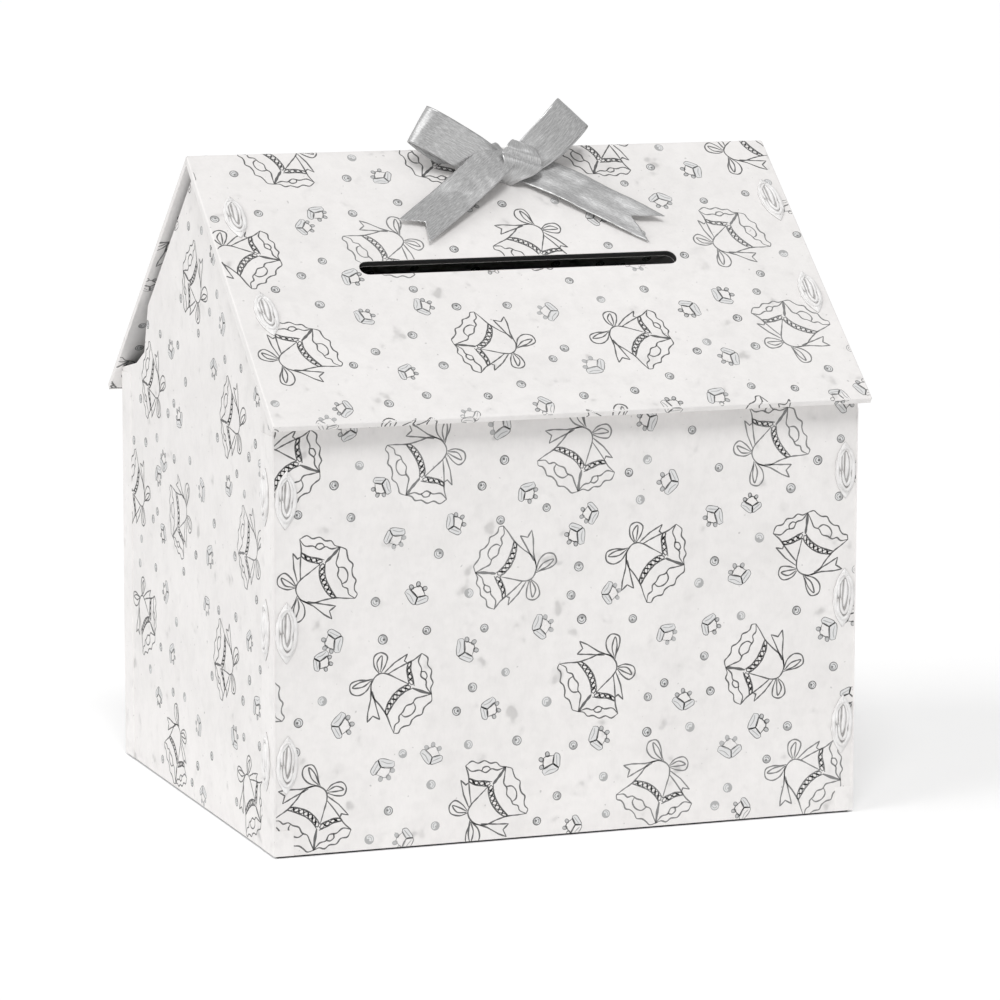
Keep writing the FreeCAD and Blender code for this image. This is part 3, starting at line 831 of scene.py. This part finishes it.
def add_slope(shell, side):
    """One slope: rings round its edges, and its flat face with the slot cut in the front one."""
    rings = [
        [new_corner(shell, point) for point in ring_chain(inset, depth, side)]
        for inset, depth in roof_rings()
    ]
    for upper, lower in zip(rings, rings[1:]):
        for quad in zip(upper, upper[1:], lower[1:], lower):
            shell.faces.new(quad)
    half = ROOF_HALF_WIDTH - EDGE_ROUND
    end = SLOPE[side] - EDGE_ROUND
    loops = [[(-half, RIDGE_RUN), (-half, end), (half, end), (half, RIDGE_RUN)]]
    if side == FRONT:
        loops.append(slot_outline())
    flat, edges = [], []
    for loop in loops:
        first = len(flat)
        flat.extend(Vector(p) for p in loop)
        edges.extend((first + i, first + (i + 1) % len(loop)) for i in range(len(loop)))
    points, _, triangles, _, _, _ = delaunay_2d_cdt(flat, edges, [], 1, 1e-5)
    made = [new_corner(shell, slope_point(p.x, p.y, 0, side)) for p in points]
    for triangle in triangles:
        middle = sum((points[i] for i in triangle), Vector((0, 0))) / 3
        if side == REAR or not in_slot(middle.x, -middle.y):
            shell.faces.new([made[i] for i in triangle])


def make_roof_paper():
    """One sheet over both slopes and round their edges, with the slot cut in it."""
    shell = bmesh.new()
    for side in (FRONT, REAR):
        add_slope(shell, side)
    rows = []
    for step in range(2 * ARC_STEPS + 1):
        v = RIDGE_RUN * (step / ARC_STEPS - 1) * JUST_INSIDE
        ends = (EDGE_ROUND - ROOF_HALF_WIDTH, ROOF_HALF_WIDTH - EDGE_ROUND)
        rows.append([new_corner(shell, roof_surface(x, v, 0)) for x in ends])
    for (a, b), (c, d) in zip(rows, rows[1:]):
        shell.faces.new((a, b, d, c))
    bmesh.ops.remove_doubles(shell, verts=shell.verts, dist=WELD * MM)
    bmesh.ops.recalc_face_normals(shell, faces=shell.faces)
    if sum(face.normal.z * face.calc_area() for face in shell.faces) < 0:
        bmesh.ops.reverse_faces(shell, faces=shell.faces)
    mesh = bpy.data.meshes.new("roof_paper")
    shell.to_mesh(mesh)
    shell.free()
    mesh.materials.append(PRINTED_PAPER)
    piece = bpy.data.objects.new("roof_paper", mesh)
    bpy.context.scene.collection.objects.link(piece)
    thicken = piece.modifiers.new("thickness", "SOLIDIFY")
    thicken.thickness = PAPER * MM
    thicken.offset = -1
    thicken.use_even_offset = True
    apply_modifiers(piece)
    return piece


def apply_modifiers(piece):
    """Puts the modified mesh in the place of the plain one."""
    graph = bpy.context.evaluated_depsgraph_get()
    made = bpy.data.meshes.new_from_object(piece.evaluated_get(graph))
    old = piece.data
    piece.modifiers.clear()
    piece.data = made
    bpy.data.meshes.remove(old)
    made.name = piece.name


def bend_over_ridge(piece):
    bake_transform(piece)


def cover_roof():
    paper = make_roof_paper()
    bend_over_ridge(paper)
    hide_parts("front_roof_paper", "rear_roof_paper", "ridge_hinge")
    low, high = -SLOPE[FRONT] - EAVE_WRAP, SLOPE[REAR] + EAVE_WRAP
    area = (-ROOF_HALF_WIDTH, ROOF_HALF_WIDTH, low, high)
    for name, side in (("front", FRONT), ("rear", REAR)):

        def has_paper(x, v):
            return side_of(v) == side and on_roof(x, v)

        sheet = Sheet(roof_surface, has_paper)
        lay_print(sheet, area, LOWEST_ROOF_ROW, 0, 0, 17, ROOF_ROW_STEP, ROOF_ROWS)
        bend_over_ridge(sheet.piece(f"{name}_roof_print", None))


# ---- The satin bow ----

RIBBON_THICKNESS = 0.22
RIBBON_HALF = RIBBON_WIDTH / 2
RIBBON_COLUMNS = 25
KEY_STEPS = 9


def stepped(keys):
    """A smooth curve through keys, with the same number of steps between each two."""
    return catmull_rom(keys, lambda start, end: KEY_STEPS)


def thick_sheet(name, grid, thickness, weave, material):
    """A closed thin sheet from a grid of points, with its weave coordinates in metres."""
    rows, columns = len(grid), len(grid[0])
    normals = []
    for i in range(rows):
        for j in range(columns):
            along = grid[min(i + 1, rows - 1)][j] - grid[max(i - 1, 0)][j]
            across = grid[i][min(j + 1, columns - 1)] - grid[i][max(j - 1, 0)]
            normals.append(along.cross(across).normalized())
    flat = [point for row in grid for point in row]
    vertices = [p + n * thickness / 2 for p, n in zip(flat, normals)]
    vertices += [p - n * thickness / 2 for p, n in zip(flat, normals)]
    count = rows * columns
    faces = []
    for i in range(rows - 1):
        for j in range(columns - 1):
            here = i * columns + j
            quad = (here, here + columns, here + columns + 1, here + 1)
            faces.append(quad)
            faces.append(tuple(index + count for index in reversed(quad)))
    first_column = list(range(0, count, columns))
    last_row = list(range(count - columns + 1, count))
    last_column = list(range(count - columns - 1, 0, -columns))
    first_row = list(range(columns - 2, 0, -1))
    rim = first_column + last_row + last_column + first_row
    for here, following in zip(rim, rim[1:] + rim[:1]):
        faces.append((following, here, here + count, following + count))
    piece = make_piece(name, vertices, faces, [material], smooth=True)
    for face in piece.data.polygons[-len(rim):]:
        face.use_smooth = False
    attribute = piece.data.attributes.new("weave", "FLOAT_VECTOR", "POINT")
    attribute.data.foreach_set("vector", [value for point in weave * 2 for value in point])
    return piece


def make_ribbon(name, centres, across, shapes, seed, notch=0.0):
    """A ribbon along centres; shapes are (share of the full width, depth of its pleats)."""
    rng = random.Random(seed)
    centre_line, shape_line = stepped(centres), stepped(shapes)
    across = across.normalized()
    length = line_length(centre_line)
    rows = max(30, round(length / 0.9))
    fray = [rng.uniform(-0.5, 0.3) for _ in range(RIBBON_COLUMNS)]
    grid, weave = [], []
    for i in range(rows):
        row = []
        for j in range(RIBBON_COLUMNS):
            v = j / (RIBBON_COLUMNS - 1) * 2 - 1
            cut = (notch * (1 - abs(v)) - (fray[j] if notch else 0)) / length
            share = i / (rows - 1) * (1 - cut)
            centre = sample(centre_line, share)
            width, pleat = sample(shape_line, share)
            ahead = sample(centre_line, share + 0.01) - sample(centre_line, share - 0.01)
            out = across.cross(ahead).normalized()
            ripple = 0.12 * math.sin(share * length * 0.25 + v * 2.1 + seed)
            ripple += 0.05 * math.sin(share * length * 0.9 - v * 4)
            lift = pleat * math.cos(v * 7.2 + seed) + ripple
            row.append(centre + across * (v * width * RIBBON_HALF) + out * lift)
            weave.append(Vector((share * length * MM, v * RIBBON_HALF * MM + seed * 0.1, 0)))
        grid.append(row)
    piece = thick_sheet(f"{name}_ribbon", grid, RIBBON_THICKNESS, weave, SATIN)
    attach(piece, "box")
    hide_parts(name)
    return piece, length


def make_loops():
    """Each loop leaves the knot, turns over at its far end and comes back behind itself."""
    left = (
        (6, -12.5, 303.6), (0, -14.4, 306), (-9, -16.2, 310.4), (-20, -18.4, 316.6),
        (-29.6, -19.6, 322), (-35, -18, 325), (-37.2, -13.8, 326.2), (-34.8, -9.8, 324.6),
        (-28, -8.2, 319.8), (-18, -8, 313.2), (-6, -9, 307.2), (5, -10.5, 303),
    )
    right = (
        (13, -14, 303.4), (17, -16.8, 307.6), (22.6, -19, 313), (30.6, -20, 321),
        (37, -18.8, 327.2), (41, -15.8, 330), (43, -12.6, 329.6), (43, -10, 327.4),
        (38.4, -8.6, 321.8), (30.2, -9, 314.2), (21.4, -11, 308.4), (13.5, -12, 303.2),
    )
    pinched = ((0.62, 1.0), (0.8, 0.7), (0.97, 0.15))
    pinch = (*pinched, *[(1, 0)] * 6, (0.97, 0.1), *reversed(pinched[:2]))
    for name, centres, across, seed in (
        ("bow_loop_left", left, Vector((-0.5, 0, -0.866)), 2),
        ("bow_loop_right", right, Vector((0.71, -0.2, -0.66)), 5),
    ):
        piece, length = make_ribbon(name, centres, across, pinch, seed)


def on_front(x, run, rise):
    return slope_point(x, run, -rise, FRONT)


def make_tails():
    # Each route's points: x, how far below the ridge, and how far off the roof.
    left = (
        (9, 11.5, 8), (2, 16.8, 10), (-5, 22.4, 9), (-15, 30.2, 6.6), (-28, 40.2, 4.4),
        (-40, 49.4, 3.2), (-50.2, 57.2, 2.6),
    )
    right = (
        (9, 10.8, 3), (16, 16.4, 3.4), (24, 22.6, 3.8), (36, 32.1, 4.4), (48, 41.6, 3.6),
        (60, 51.1, 3.2), (72.8, 61.2, 2.4),
    )
    left_shape = ((0.8, 0.4), (0.92, 0.2), (1, 0.05), (1, 0), (1, 0), (1, 0), (0.98, 0))
    right_shape = ((0.85, 0.3), (1, 0.15), (1, 0.1), (1, 0.1), (1, 0.12), (1, 0.1), (0.97, 0))
    for name, route, shape, turn, tilt, notch, seed in (
        ("bow_tail_left", left, left_shape, math.radians(217.5), 0, 9.0, 3),
        ("bow_tail_right", right, right_shape, math.radians(-38.3), -0.14, 11.5, 4),
    ):
        across = X * -math.sin(turn) - slope_direction(math.cos(turn), tilt, FRONT)
        centres = [on_front(*point) for point in route]
        piece, length = make_ribbon(name, centres, across, shape, seed, notch)


def make_knot():
    """The short wrap over the middle, creased where it was pulled tight."""
    middle = on_front(BOW_SHIFT - 1.6, BOW_BELOW_RIDGE, 5.5)
    across = Vector((0.93, -0.18, -0.32)).normalized()
    forward = Vector((-0.34, -0.86, 0.36)).normalized()
    forward = (forward - across * forward.dot(across)).normalized()
    up = forward.cross(across)
    if up.z < 0:
        up = -up
    # The route's points along across, up and forward.
    route = (
        (0, 4, -3.5), (-1, 8.8, -1.6), (-1.5, 10.8, 1.8), (-0.6, 8, 4.6), (0.3, 5, 5.6),
        (0.8, 2.2, 4.0), (1, 0.6, 6.0), (0.4, -4.2, 6.1), (-1.8, -8.8, 3.8), (-3.4, -11, 0),
        (-2.6, -8, -3),
    )
    shape = (
        (0.4, 0.1), (0.34, 0.1), (0.42, 0.1), (0.72, 0.05), (0.92, 0.05), (1.06, 0), (1.06, 0),
        (0.78, 0.05), (0.42, 0.1), (0.3, 0.1), (0.36, 0.1),
    )
    centres = [middle + across * a + up * b + forward * c for a, b, c in route]
    piece, length = make_ribbon("bow_knot", centres, across, shape, 6)


# ---- Moulded roses ----

ROSE_HALF_WIDTH = 5.25
ROSE_HALF_LENGTH = 13.5
ROSE_PLATE = 0.75
ROSE_OUTLINE_STEPS = 20
# Each fold of the relief: its points, its width and its rise above the plate.
ROSE_FOLDS = (
    (((-1.4, 10.6), (-3.4, 6.8), (-4.2, 0.5), (-3.5, -5.4), (-1.2, -9.8)), 1.5, 0.7),
    (((0.6, 11), (3, 7.6), (4, 1.5), (3.5, -5.4), (1.4, -10.4)), 2.0, 0.6),
    (((-3, -0.5), (-2.5, -6), (-0.2, -9.4), (2.1, -8), (3, -3.4)), 1.6, 1.0),
    (((-1.7, -0.2), (-1.3, -4.6), (0.1, -6.9), (1.6, -5.4), (2.3, -1)), 1.5, 1.25),
    (((-2.7, 7.6), (-3, 3.6), (-2.7, 0.4)), 1.3, 0.95),
    (((-1.3, 7.4), (-1.6, 3.5), (-1.3, -0.4)), 0.75, 1.0),
    (((0.2, 8.4), (0.5, 4), (0.3, 0), (0, -4)), 2.0, 1.5),
    (((1.2, 8.2), (2.3, 5), (2.4, 1), (1.8, -2.6)), 1.5, 1.15),
    (((-2.4, 9), (-0.7, 10.6), (1.2, 9.9)), 1.3, 0.85),
)


def rose_plate():
    """A shallow dome on a pointed oval; slot 1 carries painted shade, a dark copy of the rose
    paper, on its sides and in its hollows.
    """
    outline = []
    for side in (1, -1):
        for step in range(ROSE_OUTLINE_STEPS):
            y = ROSE_HALF_LENGTH * math.cos(math.pi * step / ROSE_OUTLINE_STEPS) * side
            half = ROSE_HALF_WIDTH * (1 - (abs(y) / ROSE_HALF_LENGTH) ** 2.3)
            wave = 1 + 0.035 * math.sin(y * 1.9 + side)
            outline.append((max(half, 0.15) * side * wave, y))
    levels = ((1, 0), (1, 0.3), (0.95, 0.5), (0.7, ROSE_PLATE), (0.35, ROSE_PLATE + 0.1))
    vertices = [Vector((x * share, y * share, z)) for share, z in levels for x, y in outline]
    count = len(outline)
    faces = [tuple(range(count))]
    for level in range(len(levels) - 1):
        for index in range(count):
            a, b = level * count + index, level * count + (index + 1) % count
            faces.append((b, a, a + count, b + count))
    faces.append(tuple(reversed(range((len(levels) - 1) * count, len(levels) * count))))
    # Slot 1, the painted shade, goes on the outer side ring and on the innermost ring and cap.
    slots = [0] + [1] * count + [0] * (len(faces) - 2 * count - 2) + [1] * (count + 1)
    return vertices, faces, slots


# A fold's section: how far out, as a share of its width, and up, as a share of its rise.
FOLD_SECTION = ((-0.5, 0), (-0.42, 0.66), (0, 1), (0.42, 0.66), (0.5, 0), (0, -0.3))
FOLD_SUNK = 0.15


def rose_fold(points, width, rise):
    """A soft ridge along a curve, thinning to both ends."""
    line = curve_through(points, 0.7)
    vertices = []
    for index, point in enumerate(line):
        ahead = line[min(index + 1, len(line) - 1)] - line[max(index - 1, 0)]
        aside = Vector((-ahead.y, ahead.x)).normalized()
        share = index / (len(line) - 1)
        swell = max(0.12, math.sin(math.pi * share)) ** 0.45
        for out, up in FOLD_SECTION:
            place = point + aside * (out * width * swell)
            vertices.append(Vector((place.x, place.y, ROSE_PLATE - FOLD_SUNK + rise * up * swell)))
    count = len(FOLD_SECTION)
    faces = []
    for ring in range(len(line) - 1):
        for index in range(count):
            a, b = ring * count + index, ring * count + (index + 1) % count
            faces.append((a, b, b + count, a + count))
    faces.append(tuple(reversed(range(count))))
    faces.append(tuple(range((len(line) - 1) * count, len(line) * count)))
    return vertices, faces


def rose_shape():
    vertices, faces, slots = rose_plate()
    for points, width, rise in ROSE_FOLDS:
        more, more_faces = rose_fold(points, width, rise)
        first = len(vertices)
        vertices.extend(more)
        faces.extend(tuple(index + first for index in face) for face in more_faces)
        slots.extend([0] * len(more_faces))
    return vertices, faces, slots


def make_roses():
    shape, faces, slots = rose_shape()
    rng = random.Random(31)
    for name in sorted(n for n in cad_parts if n.startswith("rose_")):
        low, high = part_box(name)
        middle = (low + high) / 2 / MM
        if "_front_" in name:
            across, along = X, Z
            middle.y = high.y / MM
        elif "_roof_" in name:
            across, along = X, -slope_direction(1, 0, FRONT)
            run = math.hypot(middle.y, RIDGE_Z - middle.z)
            middle = slope_point(middle.x, run, 0, FRONT)
        else:
            side = -1 if "left" in name else 1
            across, along = Y * side, Z
            middle.x = (high.x if side < 0 else low.x) / MM
        out = across.cross(along)
        lean = rng.uniform(-0.05, 0.05)
        size = rng.uniform(1.0, 1.07)
        right = (across * math.cos(lean) + along * math.sin(lean)) * size
        up = (along * math.cos(lean) - across * math.sin(lean)) * size
        vertices = [middle + right * p.x + up * p.y + out * p.z for p in shape]
        piece = make_piece(f"{name}_relief", vertices, faces, [ROSE, ROSE_PAINTED_SHADE], slots, smooth=True)
        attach(piece, "box")
        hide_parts(name)


# ---- Carried-over pieces ----


# The first word found in a node's name picks its material; the rest is printed paper.
MATERIAL_BY_WORD = (
    ("board", BOARD),
    ("foot_card", FOOT_PAINTED_SHADE),
    ("rose", ROSE),
    ("bow", SATIN),
    ("strip", PLAIN_PAPER),
    ("seam", PLAIN_PAPER),
    ("lining", LINING_PAINTED_LIGHT),
)


def dress_cad_nodes():
    for name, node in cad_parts.items():
        found = (material for word, material in MATERIAL_BY_WORD if word in name)
        node.data.materials.clear()
        node.data.materials.append(next(found, PRINTED_PAPER))


# ---- Stage, light and camera ----


def floor_material():
    """A pale tabletop, lifted a little so that it reads as a lit sweep."""
    material, _, shader = new_material("pale_floor", 0.9, grey(0.9))
    shader.inputs["Emission Color"].default_value = (1, 1, 1, 1)
    shader.inputs["Emission Strength"].default_value = 0.16
    return material


FLOOR_REACH = 40000


def make_floor():
    signs = ((-1, -1), (1, -1), (1, 1), (-1, 1))
    corners = [(x * FLOOR_REACH, y * FLOOR_REACH, 0) for x, y in signs]
    make_piece("floor", corners, [(0, 1, 2, 3)], [floor_material()])


def make_sun(name, towards, softness, strength):
    """Even light from one side; towards points at the light and softness is in degrees."""
    data = bpy.data.lights.new(name, "SUN")
    data.angle = math.radians(softness)
    data.energy = strength
    light = bpy.data.objects.new(name, data)
    light.rotation_euler = Vector(towards).to_track_quat("Z", "Y").to_euler()
    bpy.context.scene.collection.objects.link(light)


def light_scene():
    world = bpy.data.worlds.new("studio")
    bpy.context.scene.world = world
    world.use_nodes = True
    background = world.node_tree.nodes["Background"]
    background.inputs["Color"].default_value = (1, 1, 1, 1)
    background.inputs["Strength"].default_value = 0.45
    make_sun("front", (-0.12, -0.33, 0.46), 22, 1.38)
    make_sun("left", (-0.24, -0.03, 0.19), 40, 0.9)
    bpy.context.scene.view_settings.view_transform = "Standard"
    bpy.context.scene.view_settings.look = "None"


# The camera, in millimetres and degrees in the box's frame.
CAMERA_PLACE = (-783.0, -2119.2, 496.1)
CAMERA_YAW = 20.53
CAMERA_PITCH = 8.94
CAMERA_ROLL = 0.16
CAMERA_LENS = 168.65
SENSOR = 36


def make_camera():
    data = bpy.data.cameras.new("camera")
    data.lens = CAMERA_LENS
    data.sensor_width = SENSOR
    camera = bpy.data.objects.new("camera", data)
    yaw = Matrix.Rotation(math.radians(-CAMERA_YAW), 4, "Z")
    tilt = Matrix.Rotation(math.radians(90 - CAMERA_PITCH), 4, "X")
    roll = Matrix.Rotation(math.radians(CAMERA_ROLL), 4, "Z")
    camera.matrix_world = Matrix.Translation(Vector(CAMERA_PLACE) * MM) @ yaw @ tilt @ roll
    bpy.context.scene.collection.objects.link(camera)
    bpy.context.scene.camera = camera


dress_cad_nodes()
print_walls()
print_linings()
cover_roof()
make_loops()
make_tails()
make_knot()
make_roses()
make_floor()
light_scene()
make_camera()
